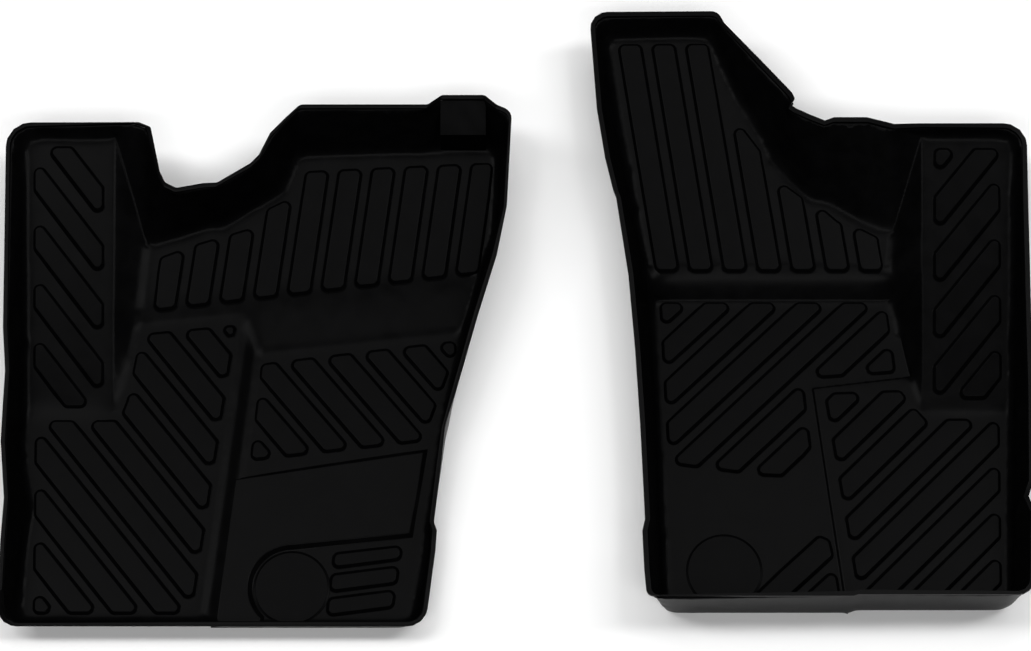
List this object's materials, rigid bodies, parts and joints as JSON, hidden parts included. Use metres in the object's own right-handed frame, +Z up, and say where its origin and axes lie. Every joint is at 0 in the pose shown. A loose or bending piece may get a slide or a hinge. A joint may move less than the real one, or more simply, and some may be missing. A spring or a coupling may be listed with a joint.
{
  "type": "floor mat set",
  "caption": "Matched driver and passenger deep-tray floor mats with raised walls, toe boards, foot-rest ramps, stepped floors and slanted tread bars.",
  "frame": {"origin": "centre of the pair's footprint, on the surface that the mats lie on", "axes": "+X towards the passenger's side, across both mats (longest extent); +Y towards the front of the cab; +Z up (shortest extent)"},
  "size_m": [1.4346, 0.884, 0.142],
  "materials": {
    "mat_rubber": "satin moulded, fine haircell grain",
    "tread_rubber": "satin moulded, slightly smoother tops",
    "rim_rubber": "satin moulded, rounded edge"
  },
  "bodies": {
    "driver_mat": {"driver_left_wall": "mat_rubber", "driver_front_wall": "mat_rubber", "driver_right_wall": "mat_rubber", "driver_rear_lip": "mat_rubber", "driver_rim_bead": "rim_rubber", "driver_low_floor": "mat_rubber", "driver_high_floor": "mat_rubber", "driver_toe_board": "mat_rubber", "driver_slope_band": "mat_rubber", "driver_foot_rest": "mat_rubber", "driver_foot_rest_side": "mat_rubber", "driver_floor_step": "mat_rubber", "driver_heel_pad": "mat_rubber", "driver_round_plaque": "mat_rubber", "driver_corner_box": "mat_rubber", "driver_toe_board_bars": "tread_rubber", "driver_high_floor_bars": "tread_rubber", "driver_low_floor_bars": "tread_rubber", "driver_foot_rest_bars": "tread_rubber", "driver_heel_bars": "tread_rubber"},
    "passenger_mat": {"passenger_left_wall": "mat_rubber", "passenger_front_wall": "mat_rubber", "passenger_right_wall": "mat_rubber", "passenger_rear_wall": "mat_rubber", "passenger_rim_bead": "rim_rubber", "passenger_low_floor": "mat_rubber", "passenger_raised_floor": "mat_rubber", "passenger_toe_board": "mat_rubber", "passenger_foot_rest": "mat_rubber", "passenger_step_band": "mat_rubber", "passenger_foot_rest_side": "mat_rubber", "passenger_round_plaque": "mat_rubber", "passenger_toe_board_bars": "tread_rubber", "passenger_low_floor_bars": "tread_rubber", "passenger_raised_floor_bars": "tread_rubber", "passenger_foot_rest_bars": "tread_rubber", "passenger_small_bars": "tread_rubber"}
  },
  "joints": [
    {"name": "passenger_mat_lift", "type": "slide", "parent": "driver_mat", "child": "passenger_mat", "axis": [0, 0, 1], "range_m": [0, 0.25]}
  ]
}
